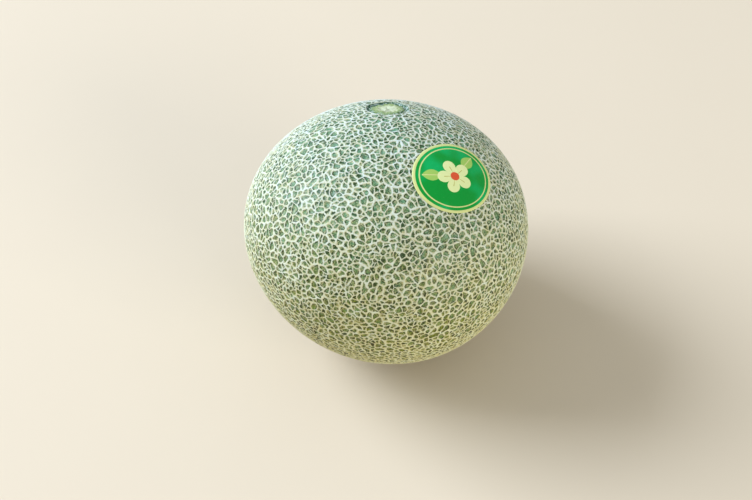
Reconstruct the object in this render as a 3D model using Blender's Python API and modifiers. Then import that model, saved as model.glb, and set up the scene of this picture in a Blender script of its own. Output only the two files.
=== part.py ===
"""A small round net melon at rest, with its raised net, its two scars and its oval label.

Metres, +Z up. The melon's own axis runs from the blossom end to the stem end. It leans back,
towards +Y, and the fruit lies on a small flat spot whose height is zero.
"""

import math
import random

import bmesh
import bpy
from mathutils import Matrix, Vector

# Body, measured over the tops of the net
EQUATOR_RADIUS = 0.067
HALF_HEIGHT = 0.062
SHOULDER = 0.046
SIDE_BOW = 0.0018
SIDE_LEAN = 0.0014
STEM_LEAN = math.radians(26.5)
REST_SPOT_DEPTH = 0.0017

# Net
CELL_PITCH = 0.0095
NET_HALF_WIDTH = 0.0010
NET_HEIGHT = 0.0010
NET_MOST_OF_CELL = 0.42
CELL_JITTER = 0.42
RING_CLEARANCE = 0.72
NET_SEED = 7

# Scars, as rings of cells round each end and the steps down into each: inwards, then down
STEM_SCAR_RADIUS = 0.0102
STEM_SCAR_SIDES = 16
STEM_SCAR_STEPS = ((0.0007, 0.0011), (0.0020, 0.0005), (0.0009, 0.0003), (0.0010, -0.0003))
BLOSSOM_SCAR_RADIUS = 0.0048
BLOSSOM_SCAR_SIDES = 10
BLOSSOM_SCAR_STEPS = ((0.0010, 0.0008), (0.0013, -0.0005))

# Label
LABEL_WIDTH = 0.040
LABEL_HEIGHT = 0.036
LABEL_THICKNESS = 0.0005
LABEL_GAP = 0.0003
LABEL_TOWARDS = Vector((0.449, -0.247, 0.859))
LABEL_TURN = math.radians(30)
LABEL_SIDES = 40
LABEL_RINGS = 5
LABEL_HUB = 0.1

# Finishes: linear colour and roughness
RIND = ((0.36, 0.41, 0.25), 0.62)
PRINTED_PAPER = ((0.02, 0.30, 0.07), 0.35)


def body_point(direction):
    """The point of the melon's outer form for a direction from its centre, in its own frame."""
    across = EQUATOR_RADIUS * (1 + SHOULDER * direction.z)
    sideways = SIDE_BOW * direction.z ** 2 - SIDE_LEAN * direction.z
    return Vector((
        across * direction.x + sideways,
        across * direction.y,
        HALF_HEIGHT * direction.z,
    ))


def body_normal(direction):
    """The outward normal there, from two short steps along the surface."""
    step = 0.001
    side = direction.orthogonal().normalized()
    other = direction.cross(side)
    here = body_point(direction)
    along_side = body_point((direction + step * side).normalized()) - here
    along_other = body_point((direction + step * other).normalized()) - here
    return along_side.cross(along_other).normalized()


def ring_of_directions(sides, cell_radius, end):
    """Directions round one end whose shared middle cell has the given radius."""
    reach = 1.5 * cell_radius / EQUATOR_RADIUS / math.cos(math.pi / sides)
    for index in range(sides):
        turn = math.tau * index / sides
        yield Vector((
            math.sin(reach) * math.cos(turn),
            math.sin(reach) * math.sin(turn),
            end * math.cos(reach),
        ))


def spread_directions():
    """Directions for the cells: both ends and their rings, then a jittered spiral between them."""
    pitch = CELL_PITCH / EQUATOR_RADIUS
    directions = []
    clearances = {}
    for end, sides, radius in (
        (1, STEM_SCAR_SIDES, STEM_SCAR_RADIUS),
        (-1, BLOSSOM_SCAR_SIDES, BLOSSOM_SCAR_RADIUS),
    ):
        ring = list(ring_of_directions(sides, radius, end))
        directions.append(Vector((0, 0, end)))
        directions.extend(ring)
        clearances[end] = math.acos(abs(ring[0].z)) + RING_CLEARANCE * pitch
    draw = random.Random(NET_SEED)
    golden_turn = math.pi * (3 - math.sqrt(5))
    count = round(4 * math.pi / (pitch * pitch * math.sqrt(3) / 2))
    for index in range(count):
        height = 1 - 2 * (index + 0.5) / count
        ring_radius = math.sqrt(1 - height * height)
        turn = golden_turn * index
        place = Vector((ring_radius * math.cos(turn), ring_radius * math.sin(turn), height))
        shift = Vector([draw.uniform(-1, 1) for _ in range(3)])
        place = (place + CELL_JITTER * pitch * shift).normalized()
        end = 1 if place.z > 0 else -1
        if math.acos(min(1, abs(place.z))) > clearances[end]:
            directions.append(place)
    return directions


def cell_mesh(directions):
    """A closed mesh with one many-sided face round each direction, on the melon's outer form."""
    hull = bmesh.new()
    corners = [hull.verts.new(direction) for direction in directions]
    bmesh.ops.convex_hull(hull, input=corners)
    hull.faces.index_update()
    cells = bmesh.new()
    junctions = {}
    for face in hull.faces:
        middle = face.calc_center_median().normalized()
        junctions[face.index] = cells.verts.new(body_point(middle))
    for corner in corners:
        outward = corner.co.normalized()
        side = outward.orthogonal().normalized()
        other = outward.cross(side)

        def turn_of(face):
            offset = face.calc_center_median() - corner.co
            return math.atan2(offset.dot(other), offset.dot(side))

        around = sorted(corner.link_faces, key=turn_of)
        cells.faces.new([junctions[face.index] for face in around])
    hull.free()
    cells.normal_update()
    return cells


def sink_steps(mesh, face, steps):
    """Step down into one face by insets, each with its own way in and down."""
    for inwards, down in steps:
        bmesh.ops.inset_individual(mesh, faces=[face], thickness=inwards, depth=-down)


def raise_net(mesh):
    """Sink every cell's middle below its rim, so that the rims stand up as the net."""
    ends = sorted(mesh.faces, key=lambda face: face.calc_center_median().z)
    blossom_end, stem_end = ends[0], ends[-1]
    for face in ends[1:-1]:
        middle_to_side = 2 * face.calc_area() / face.calc_perimeter()
        inwards = min(NET_HALF_WIDTH, NET_MOST_OF_CELL * middle_to_side)
        bmesh.ops.inset_individual(mesh, faces=[face], thickness=inwards, depth=-NET_HEIGHT)
    sink_steps(mesh, stem_end, STEM_SCAR_STEPS)
    sink_steps(mesh, blossom_end, BLOSSOM_SCAR_STEPS)


def lean():
    """The turn that leans the stem end back."""
    return Matrix.Rotation(-STEM_LEAN, 4, "X")


def press_rest_spot(mesh):
    """Flatten what lies below the rest spot's height."""
    level = min(vertex.co.z for vertex in mesh.verts) + REST_SPOT_DEPTH
    for vertex in mesh.verts:
        vertex.co.z = max(vertex.co.z, level)


def foot_of(mesh):
    """The point under the middle of a mesh's box, at its lowest height."""
    low = Vector([min(vertex.co[axis] for vertex in mesh.verts) for axis in range(3)])
    high = Vector([max(vertex.co[axis] for vertex in mesh.verts) for axis in range(3)])
    return Vector(((low.x + high.x) / 2, (low.y + high.y) / 2, low.z))


def finish_named(name, finish):
    """A plain material from a linear colour and a roughness."""
    colour, roughness = finish
    material = bpy.data.materials.new(name)
    material.use_nodes = True
    shader = material.node_tree.nodes["Principled BSDF"]
    shader.inputs["Base Color"].default_value = (*colour, 1)
    shader.inputs["Roughness"].default_value = roughness
    material.diffuse_color = (*colour, 1)
    return material


def object_of(name, mesh, collection, material):
    """A named object that holds a finished mesh."""
    data = bpy.data.meshes.new(name)
    mesh.to_mesh(data)
    mesh.free()
    data.materials.append(material)
    thing = bpy.data.objects.new(name, data)
    collection.objects.link(thing)
    return thing


def make_melon(collection):
    """The fruit with its net and scars. Returns it and how far it was moved to stand on zero."""
    mesh = cell_mesh(spread_directions())
    raise_net(mesh)
    bmesh.ops.transform(mesh, matrix=lean(), verts=mesh.verts)
    press_rest_spot(mesh)
    foot = foot_of(mesh)
    bmesh.ops.translate(mesh, vec=-foot, verts=mesh.verts)
    melon = object_of("melon", mesh, collection, finish_named("rind", RIND))
    return melon, -foot


def label_frame():
    """The label's middle as a direction in the melon's own frame, and its two edges' directions."""
    unlean = lean().inverted().to_3x3()
    outward = LABEL_TOWARDS.normalized()
    rightward = (Vector((1, 0, 0)) - outward.x * outward).normalized()
    rightward = Matrix.Rotation(LABEL_TURN, 3, outward) @ rightward
    outward, rightward = unlean @ outward, unlean @ rightward
    stretched = Vector((outward.x, outward.y, outward.z * EQUATOR_RADIUS / HALF_HEIGHT))
    outward = stretched.normalized()
    rightward = (rightward - rightward.dot(outward) * outward).normalized()
    return outward, rightward, outward.cross(rightward)


def make_label(collection, moved):
    """The oval sticker, bent round the fruit just clear of the net."""
    outward, rightward, upward = label_frame()
    mesh = bmesh.new()
    bmesh.ops.create_circle(mesh, cap_ends=True, segments=LABEL_SIDES, radius=1)
    middle = mesh.faces[:][0]
    ring_width = (1 - LABEL_HUB) / LABEL_RINGS
    for _ in range(LABEL_RINGS):
        bmesh.ops.inset_individual(mesh, faces=[middle], thickness=ring_width, depth=0)
    bmesh.ops.poke(mesh, faces=[middle])
    for vertex in mesh.verts:
        along = vertex.co.x * LABEL_WIDTH / 2
        up = vertex.co.y * LABEL_HEIGHT / 2
        reach = math.hypot(along, up)
        bend = reach / EQUATOR_RADIUS
        way = (along * rightward + up * upward) / max(reach, 1e-9)
        direction = (math.cos(bend) * outward + math.sin(bend) * way).normalized()
        vertex.co = body_point(direction) + LABEL_GAP * body_normal(direction)
    bmesh.ops.transform(mesh, matrix=lean(), verts=mesh.verts)
    bmesh.ops.translate(mesh, vec=moved, verts=mesh.verts)
    mesh.normal_update()
    label = object_of("label", mesh, collection, finish_named("printed_paper", PRINTED_PAPER))
    paper = label.modifiers.new("paper", "SOLIDIFY")
    paper.thickness = LABEL_THICKNESS
    paper.offset = 1
    return label


def main():
    """Empty the scene and build the melon."""
    for thing in list(bpy.data.objects):
        bpy.data.objects.remove(thing, do_unlink=True)
    collection = bpy.data.collections.new("otome_melon")
    bpy.context.scene.collection.children.link(collection)
    _, moved = make_melon(collection)
    make_label(collection, moved)


main()
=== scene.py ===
"""The finished look of a small round net melon at rest, with its oval sticker.

The frame's solids hold the coarse form. Here one closed mesh takes the fruit's place, with its rind,
its fine raised cork net, the stem scar and the blossom scar, and a thin printed sheet takes the
sticker's place. Metres, +Z up. The stem end leans back, towards +Y.
"""

import logging
import math
import random
from collections.abc import Iterator
from dataclasses import asdict, dataclass, field
from enum import Enum
from typing import Any

import bmesh
import bpy
from mathutils import Matrix, Vector, noise
from mathutils.bvhtree import BVHTree


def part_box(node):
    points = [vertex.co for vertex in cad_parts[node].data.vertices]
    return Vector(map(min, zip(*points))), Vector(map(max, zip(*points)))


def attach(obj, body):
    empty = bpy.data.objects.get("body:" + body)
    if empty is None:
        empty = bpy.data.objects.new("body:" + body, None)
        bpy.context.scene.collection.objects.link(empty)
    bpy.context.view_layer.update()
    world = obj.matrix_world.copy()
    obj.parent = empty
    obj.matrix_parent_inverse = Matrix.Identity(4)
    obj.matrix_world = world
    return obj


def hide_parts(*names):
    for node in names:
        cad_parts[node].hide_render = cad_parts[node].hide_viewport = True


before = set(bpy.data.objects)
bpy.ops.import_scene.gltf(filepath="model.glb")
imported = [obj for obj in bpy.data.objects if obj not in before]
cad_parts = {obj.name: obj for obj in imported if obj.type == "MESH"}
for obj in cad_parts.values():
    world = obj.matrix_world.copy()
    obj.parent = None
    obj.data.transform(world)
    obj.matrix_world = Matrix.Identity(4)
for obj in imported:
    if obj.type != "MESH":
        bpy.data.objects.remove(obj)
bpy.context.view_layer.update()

LOG = logging.getLogger("melon")
FRUIT_NODE = "melon"
STICKER_NODE = "label"
PRINT_MAP = "print"
MILLIMETRES = 1000.0

Colour = tuple[float, float, float]
Place = tuple[float, float, float]
Span = tuple[float, float]
Socket = bpy.types.NodeSocket


class Line(Enum):
    """The net's lines by the order in which they form, each with half its width at the foot."""

    FIRST = 0.00068
    LATER = 0.00058
    LAST = 0.00047
    RING = 0.00085


class End(Enum):
    """The fruit's two ends, as the sign of their height along its own axis."""

    STEM = 1
    BLOSSOM = -1


@dataclass(frozen=True)
class MelonForm:
    """The fruit's outer form over the tops of its net, and the way it lies."""

    equator_radius: float = 0.067
    half_height: float = 0.062
    shoulder: float = 0.046
    side_bow: float = 0.0018
    side_lean: float = 0.0014
    stem_lean: float = math.radians(26.5)
    rest_softness: float = 0.0008
    samples: int = 6000

    def section(self, height: float) -> Span:
        """The form's radius at a unit height, and how far aside its middle lies there."""
        across = self.equator_radius * (1 + self.shoulder * height)
        return across, self.side_bow * height ** 2 - self.side_lean * height

    def point(self, direction: Vector) -> Vector:
        """The point of the form for a direction from the centre, in the fruit's own frame.

        Args:
            direction: A unit vector, +Z towards the stem end.

        Returns:
            The point on the surface.
        """
        across, aside = self.section(direction.z)
        return Vector((
            across * direction.x + aside,
            across * direction.y,
            self.half_height * direction.z,
        ))

    def direction(self, place: Vector) -> Vector:
        """The direction whose point lies nearest a place near the surface.

        Args:
            place: A place near the surface, in the fruit's own frame.

        Returns:
            A unit vector.
        """
        height = max(-1.0, min(1.0, place.z / self.half_height))
        across, aside = self.section(height)
        return Vector(((place.x - aside) / across, place.y / across, height)).normalized()

    def end_height(self, end: End, radius: float) -> float:
        """The unit height, with its sign, of the circle of a given radius round one end."""
        share = radius / self.section(end.value)[0]
        return end.value * math.sqrt(1 - share * share)

    def placement(self) -> Matrix:
        """The lean and shift that bring the fruit's own frame to the part's frame.

        Returns:
            A matrix that puts the form's sides and top on those of the fruit's solid.
        """
        lean = Matrix.Rotation(-self.stem_lean, 4, "X")
        places = [lean @ self.point(direction) for direction in golden_spiral(self.samples)]
        low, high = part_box(FRUIT_NODE)
        shift = Vector([
            (low[axis] + high[axis]) / 2
            - (min(p[axis] for p in places) + max(p[axis] for p in places)) / 2
            for axis in range(2)
        ] + [high[2] - max(p.z for p in places)])
        return Matrix.Translation(shift) @ lean

    def rested(self, place: Vector) -> Vector:
        """A place of the leaned form, pressed flat where it meets the surface it lies on."""
        above = (place.z + math.hypot(place.z, self.rest_softness)) / 2
        return Vector((place.x, place.y, above))


def golden_spiral(count: int) -> Iterator[Vector]:
    """Directions spread evenly over a unit sphere.

    Args:
        count: How many.

    Returns:
        The directions in turn, from the stem end down.
    """
    turn = math.pi * (3 - math.sqrt(5))
    for index in range(count):
        height = 1 - 2 * (index + 0.5) / count
        ring = math.sqrt(1 - height * height)
        yield Vector((ring * math.cos(turn * index), ring * math.sin(turn * index), height))


def in_turn(places: dict[Any, Vector], middle: Vector, axis: Vector) -> list[Any]:
    """Sort things by their turn round an axis.

    Args:
        places: Each thing's place.
        middle: A point of the axis.
        axis: The axis, a unit vector.

    Returns:
        The things, in turn.
    """
    side = axis.orthogonal().normalized()
    other = axis.cross(side)
    turns = {}
    for thing, place in places.items():
        offset = place - middle
        turns[thing] = math.atan2(offset.dot(other), offset.dot(side))
    return sorted(turns, key=turns.get)


@dataclass(frozen=True)
class Grain:
    """Noise whose lumps have a given size in metres."""

    pitch: float
    detail: float = 2.0
    rough: float = 0.5


@dataclass(frozen=True)
class Patches(Grain):
    """Noise that counts from its low level up, and fully past its high one."""

    low: float = 0.4
    high: float = 0.6


@dataclass
class Graph:
    """A node tree under construction."""

    tree: bpy.types.NodeTree

    def add(self, kind: str, inputs: dict[Any, Any] | None = None, **settings: Any) -> bpy.types.Node:
        """Add a node.

        Args:
            kind: The node's type name.
            inputs: For each input name or number, a value or the socket that feeds it.
            settings: The node's own properties.

        Returns:
            The node.
        """
        node = self.tree.nodes.new(kind)
        for name, value in settings.items():
            setattr(node, name, value)
        for key, value in (inputs or {}).items():
            self.feed(node.inputs[key], value)
        return node

    def feed(self, target: Socket, value: Any) -> None:
        """Give an input its value, or link it to the socket that feeds it.

        Args:
            target: The input.
            value: The value or the socket. A colour has three numbers.
        """
        if isinstance(value, bpy.types.NodeSocket):
            self.tree.links.new(value, target)
        elif target.type == "RGBA":
            target.default_value = (*value, 1)
        else:
            target.default_value = value

    def math(self, operation: str, *values: Any) -> Socket:
        """The result of a Math node."""
        return self.add("ShaderNodeMath", dict(enumerate(values)), operation=operation).outputs[0]

    def plus(self, first: Any, second: Any) -> Socket:
        """One value plus another."""
        return self.math("ADD", first, second)

    def minus(self, first: Any, second: Any) -> Socket:
        """One value less another."""
        return self.math("SUBTRACT", first, second)

    def times(self, first: Any, second: Any) -> Socket:
        """One value times another."""
        return self.math("MULTIPLY", first, second)

    def scaled(self, value: Any, factor: Any, start: Any) -> Socket:
        """A value times a factor, plus a start."""
        return self.math("MULTIPLY_ADD", value, factor, start)

    def rest(self, value: Any) -> Socket:
        """What a value leaves of one."""
        return self.minus(1.0, value)

    def vector(self, operation: str, *values: Any, scale: Any = None) -> Socket:
        """The result of a Vector Math node.

        Args:
            operation: The node's operation.
            values: Its vectors.
            scale: Its factor, for an operation that takes one.

        Returns:
            The resulting vector or number.
        """
        inputs = dict(enumerate(values))
        if scale is not None:
            inputs["Scale"] = scale
        node = self.add("ShaderNodeVectorMath", inputs, operation=operation)
        return node.outputs["Value" if operation == "DOT_PRODUCT" else "Vector"]

    def between(self, value: Any, span: Span, ends: tuple[Any, Any] = (0.0, 1.0),
                smooth: bool = True) -> Socket:
        """A rise from one end value to the other as a value crosses a span.

        Args:
            value: What crosses the span.
            span: Where the rise starts and stops.
            ends: What it rises from and to.
            smooth: Whether it eases in and out.

        Returns:
            The rise.
        """
        names = ("From Min", "From Max", "To Min", "To Max")
        inputs = {"Value": value, **dict(zip(names, (*span, *ends)))}
        kind = "SMOOTHSTEP" if smooth else "LINEAR"
        return self.add("ShaderNodeMapRange", inputs, interpolation_type=kind).outputs[0]


class ShaderGraph(Graph):
    """A new material's node tree under construction, with short forms of the common nodes."""

    def __init__(self, name: str) -> None:
        """Start the material.

        Args:
            name: The material's name.
        """
        self.material = bpy.data.materials.new(name)
        self.material.use_nodes = True
        super().__init__(self.material.node_tree)
        self.place = self.add("ShaderNodeTexCoord").outputs["Object"]

    def surface(self, inputs: dict[str, Any]) -> bpy.types.Material:
        """Finish the material.

        Args:
            inputs: For each input of its Principled BSDF, a value or a socket.

        Returns:
            The material.
        """
        shader = self.tree.nodes["Principled BSDF"]
        for name, value in inputs.items():
            self.feed(shader.inputs[name], value)
        return self.material

    def square(self, value: Socket) -> Socket:
        """A value times itself."""
        return self.times(value, value)

    def length(self, first: Socket, second: Socket) -> Socket:
        """How far a point lies from the origin."""
        return self.math("SQRT", self.plus(self.square(first), self.square(second)))

    def blend(self, share: Any, first: Any, second: Any, kind: str = "MIX") -> Socket:
        """The colour between two others, or the one laid over the other."""
        inputs = {"Factor": share, 6: first, 7: second}
        return self.add("ShaderNodeMix", inputs, data_type="RGBA", blend_type=kind).outputs[2]

    def lumps(self, grain: Grain) -> Any:
        """The outputs of a noise node: its value, then its colour."""
        inputs = {"Scale": 1 / grain.pitch, "Detail": grain.detail, "Roughness": grain.rough}
        return self.add("ShaderNodeTexNoise", {"Vector": self.place, **inputs}).outputs

    def grain(self, grain: Grain) -> Socket:
        """A noise's value."""
        return self.lumps(grain)[0]

    def patches(self, patches: Patches) -> Socket:
        """A noise's value, cut between its two levels."""
        return self.between(self.grain(patches), (patches.low, patches.high))

    def cells(self, place: Socket, pitch: float, feature: str) -> Any:
        """The outputs of a Voronoi node whose cells have a given size in metres."""
        inputs = {"Vector": place, "Scale": 1 / pitch, "Randomness": 1.0}
        return self.add("ShaderNodeTexVoronoi", inputs, feature=feature).outputs

    def stops(self, value: Socket, steps: tuple[tuple[float, Colour], ...]) -> Socket:
        """A colour ramp.

        Args:
            value: The place on the ramp.
            steps: The ramp's places, each with its colour.

        Returns:
            The colour.
        """
        node = self.add("ShaderNodeValToRGB", {"Fac": value})
        ramp = node.color_ramp
        for element, (place, colour) in zip(ramp.elements, (steps[0], steps[-1])):
            element.position = place
            element.color = (*colour, 1)
        for place, colour in steps[1:-1]:
            ramp.elements.new(place).color = (*colour, 1)
        return node.outputs["Color"]

    def named(self, name: str) -> Socket:
        """A number that the mesh holds under a name."""
        return self.add("ShaderNodeAttribute", attribute_name=name).outputs["Fac"]

    def bump(self, height: Socket, strength: float, depth: float) -> Socket:
        """The surface's direction once a height stands up from it."""
        inputs = {"Strength": strength, "Distance": depth, "Height": height}
        return self.add("ShaderNodeBump", inputs).outputs["Normal"]


@dataclass(frozen=True)
class Spot:
    """What the rind's finishes read at a spot: how near the stem end and a line it is, and how much painted
    shade lies there at the foot of a line.
    """

    to_stem: Socket
    line: Socket
    hollow: Socket


@dataclass(frozen=True)
class CorkFinish:
    """The pale cork of the net, with the loose crumbs beside it."""

    light: Colour = (0.605, 0.70, 0.68)
    tan: Colour = (0.59, 0.575, 0.44)
    # The flanks' colour: partly the cork's own browner colour and partly painted shade.
    dark: Colour = (0.47, 0.475, 0.30)
    # The warmth towards the blossom end: partly the cork's own colour and partly painted warm light from
    # below.
    warmth: Colour = (1.0, 0.87, 0.57)
    tan_share: float = 0.55
    tan_patches: Patches = Patches(0.0015, 3.0, 0.6, 0.47, 0.60)
    fine_mottle: Grain = Grain(0.0007, 3.0, 0.6)
    broad_mottle: Grain = Grain(0.006)
    mottling: float = 1.1
    crest: Span = (1.25, 2.45)
    edge_grain: Grain = Grain(0.0007, 4.0, 0.7)
    edge_raggedness: float = 2.6
    edge: Span = (0.12, 0.43)
    floor_loss: float = 0.30
    # How far the cork draws back where painted shade lies at a line's foot.
    hollow_loss: float = 0.40
    speck_pitch: float = 0.0013
    speck_chance: Span = (0.40, 1.0)
    speck_size: float = 0.32
    speck_edge: Span = (-0.04, 0.08)
    speck_share: float = 0.7
    spur_pitch: float = 0.0017
    spur_bends: Grain = Grain(1 / 900)
    spur_bend: float = 0.0006
    spur_edge: Span = (0.02, 0.085)
    spur_patches: Patches = Patches(0.0021, 1.0, low=0.53, high=0.60)
    spur_share: float = 0.75

    def lines(self, graph: ShaderGraph, spot: Spot) -> Socket:
        """Where the net's own cork lies, with a ragged edge that runs out over the cells' floors.

        Args:
            graph: The rind's graph.
            spot: What the finishes read.

        Returns:
            One on the cork and zero off it.
        """
        ragged = graph.scaled(graph.grain(self.edge_grain), self.edge_raggedness, -self.edge_raggedness / 2)
        inwards = graph.scaled(graph.named("middle"), -self.floor_loss, spot.line)
        # The cork draws back where painted shade lies, so that the shade shows.
        inwards = graph.scaled(spot.hollow, -self.hollow_loss, inwards)
        return graph.between(graph.plus(inwards, ragged), self.edge)

    def specks(self, graph: ShaderGraph) -> Socket:
        """Small loose dots of cork of several sizes.

        Args:
            graph: The rind's graph.

        Returns:
            How much of a dot lies there.
        """
        cells = graph.cells(graph.place, self.speck_pitch, "F1")
        chance = graph.add("ShaderNodeSeparateColor", {0: cells["Color"]}).outputs[0]
        size = graph.times(graph.between(chance, self.speck_chance, smooth=False), self.speck_size)
        inside = graph.between(graph.minus(size, cells["Distance"]), self.speck_edge)
        return graph.times(inside, self.speck_share)

    def spurs(self, graph: ShaderGraph) -> Socket:
        """Broken hair lines of cork that run into the cells from the net.

        Args:
            graph: The rind's graph.

        Returns:
            How much of a hair line lies there.
        """
        bends = graph.lumps(self.spur_bends)[1]
        bent = graph.vector("MULTIPLY_ADD", bends, (self.spur_bend,) * 3, graph.place)
        off_line = graph.cells(bent, self.spur_pitch, "DISTANCE_TO_EDGE")["Distance"]
        line = graph.rest(graph.between(off_line, self.spur_edge))
        return graph.times(graph.times(line, graph.patches(self.spur_patches)), self.spur_share)

    def colour(self, graph: ShaderGraph, spot: Spot) -> Socket:
        """The cork's colour: pale on the crests and darker on the flanks, warmer to the blossom end.

        The darker flanks are partly the cork's own browner colour and partly painted shade, the warmth
        partly its own colour and partly painted warm light from below.

        Args:
            graph: The rind's graph.
            spot: What the finishes read.

        Returns:
            The colour.
        """
        mottle = graph.plus(graph.grain(self.fine_mottle), graph.grain(self.broad_mottle))
        # Partly painted shade: the flanks, lower on the line, take the dark colour.
        crest = graph.between(graph.scaled(mottle, self.mottling, spot.line), self.crest)
        tan = graph.times(graph.patches(self.tan_patches), self.tan_share)
        colour = graph.blend(crest, self.dark, graph.blend(tan, self.light, self.tan))
        # Warmer towards the low blossom end, partly as painted warm light from below.
        warm = graph.blend(1.0, colour, self.warmth, "MULTIPLY")
        return graph.blend(spot.to_stem, warm, colour)


@dataclass(frozen=True)
class GreenFinish:
    """The green rind between the lines, olive towards the blossom end and a cooler green towards the stem
    end.

    The change from warm below to cool above is partly the rind's own colour and partly painted
    light: a warm bounce on the low blossom end and cool window light on the high stem end.

    Each colour is given at the blossom end and at the stem end. A tone of zero is the shade, a dark
    colour that stands partly for the rind's own dark green and partly for painted shade, and a tone of
    one the ground colour. Painted shade at the foot of the lines draws the tone down. A thin film of
    cork makes it paler.
    """

    # Blossom end first, then stem end: the warm olive below and the cool green above are partly painted
    # light.
    shade: tuple[Colour, Colour] = ((0.034, 0.032, 0.0), (0.018, 0.066, 0.018))
    ground: tuple[Colour, Colour] = ((0.13, 0.165, 0.0), (0.11, 0.29, 0.17))
    pale: tuple[Colour, Colour] = ((0.38, 0.415, 0.0), (0.425, 0.61, 0.52))
    cell_tone: float = 0.25
    area_tone: float = 0.25
    fleck_tone: float = 0.65
    # How far painted shade at a line's foot darkens the rind.
    hollow_tone: float = -0.85
    areas: Patches = Patches(0.0065, low=0.38, high=0.62)
    flecks: Patches = Patches(0.0011, 4.0, 0.7, 0.42, 0.60)
    film: Patches = Patches(0.0006, 4.0, 0.7, 0.48, 0.66)
    film_share: float = 0.50
    film_lost_in_hollow: float = 0.45

    def colour(self, graph: ShaderGraph, spot: Spot) -> Socket:
        """The rind's colour.

        Args:
            graph: The rind's graph.
            spot: What the finishes read.

        Returns:
            The colour.
        """
        shade, ground, pale = (
            graph.blend(spot.to_stem, *colours) for colours in (self.shade, self.ground, self.pale)
        )
        tone = graph.times(graph.named("tone"), self.cell_tone)
        tone = graph.scaled(graph.patches(self.areas), self.area_tone, tone)
        # Painted shade darkens the rind at the foot of the lines.
        tone = graph.scaled(spot.hollow, self.hollow_tone, tone)
        tone = graph.scaled(graph.patches(self.flecks), self.fleck_tone, tone)
        # The cork film thins where painted shade lies.
        film = graph.scaled(spot.hollow, -self.film_lost_in_hollow, self.film_share)
        film = graph.times(graph.patches(self.film), film)
        return graph.blend(film, graph.blend(tone, shade, ground), pale)


@dataclass(frozen=True)
class Scar:
    """A round scar.

    Its steps are rings: shares of its radius, each with its depth below the rim. Its colours run
    from its middle out, by the same shares.
    """

    end: End
    radius: float
    way_name: str
    steps: tuple[tuple[float, float], ...]
    roughness: float
    lump: float
    colours: tuple[tuple[float, Colour], ...]
    crust: Colour
    lump_growth: float = 3.0
    raggedness: float = 0.09
    rag_count: float = 2.6


STEM_SCAR = Scar(
    end=End.STEM,
    radius=0.0102,
    way_name="stem_way",
    steps=(
        (0.97, 0.0003), (0.94, 0.0008), (0.90, 0.0011), (0.85, 0.0012), (0.79, 0.0009),
        (0.72, 0.0006), (0.64, 0.0004), (0.56, 0.0003), (0.47, 0.0004), (0.38, 0.0004),
        (0.29, 0.0005), (0.19, 0.0005), (0.09, 0.0006),
    ),
    roughness=0.00085,
    lump=0.0016,
    # From the middle out: a pale plateau, a green slope, then a dark ring in the groove that is partly the
    # scar's own dark green and partly painted shade.
    colours=(
        (0.00, (0.46, 0.52, 0.36)),
        (0.22, (0.60, 0.66, 0.48)),
        (0.42, (0.55, 0.61, 0.40)),
        (0.55, (0.30, 0.39, 0.18)),
        (0.74, (0.18, 0.27, 0.11)),
        (0.83, (0.08, 0.17, 0.09)),
        (0.96, (0.07, 0.15, 0.11)),
    ),
    crust=CorkFinish.light,
)
BLOSSOM_SCAR = Scar(
    end=End.BLOSSOM,
    radius=0.0046,
    way_name="blossom_way",
    steps=(
        (0.90, 0.0004), (0.78, 0.0006), (0.62, 0.0004),
        (0.45, 0.0002), (0.28, 0.0002), (0.12, 0.0004),
    ),
    roughness=0.00025,
    lump=0.0012,
    colours=(
        (0.00, (0.16, 0.11, 0.05)),
        (0.30, (0.34, 0.27, 0.14)),
        (0.70, (0.42, 0.38, 0.22)),
        (0.92, (0.50, 0.48, 0.30)),
    ),
    crust=CorkFinish.tan,
)
SCARS = (STEM_SCAR, BLOSSOM_SCAR)


@dataclass(frozen=True)
class ScarFinish:
    """The two scars: rings of colour under fibres and a flaking crust."""

    rim: Span = (0.93, 0.99)
    wobble: Grain = Grain(0.0014, 4.0, 0.6)
    wobbling: float = 0.60
    fibres: Patches = Patches(0.0006, 4.0, 0.7, 0.38, 0.66)
    fibre_share: float = 0.45
    fibre_shade: Colour = (0.52, 0.48, 0.34)
    flake_pitch: float = 0.0021
    flake_edge: Span = (0.02, 0.08)
    flake_raggedness: float = 0.10
    crust_starts: Span = (0.55, 0.85)
    crust_share: float = 0.85

    def outside(self, graph: ShaderGraph, way: Socket) -> Socket:
        """One outside a scar's rim and zero inside it."""
        return graph.between(way, self.rim)

    def colour(self, graph: ShaderGraph, colour: Socket) -> Socket:
        """Lay the two scars over the rest.

        Args:
            graph: The rind's graph.
            colour: The colour of the rest.

        Returns:
            The colour with the scars.
        """
        wobble = graph.scaled(graph.grain(self.wobble), self.wobbling, -self.wobbling / 2)
        fibre = graph.patches(self.fibres)
        flakes = graph.cells(graph.place, self.flake_pitch, "DISTANCE_TO_EDGE")["Distance"]
        ragged = graph.scaled(fibre, self.flake_raggedness, -self.flake_raggedness / 2)
        crust = graph.rest(graph.between(graph.plus(flakes, ragged), self.flake_edge))
        for scar in SCARS:
            way = graph.named(scar.way_name)
            inner = graph.stops(graph.plus(way, wobble), scar.colours)
            inner = graph.blend(graph.times(fibre, self.fibre_share), inner, self.fibre_shade, "MULTIPLY")
            outer = graph.times(graph.between(way, self.crust_starts), self.crust_share)
            inner = graph.blend(graph.times(crust, outer), inner, scar.crust)
            colour = graph.blend(graph.rest(self.outside(graph, way)), colour, inner)
        return colour


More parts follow.
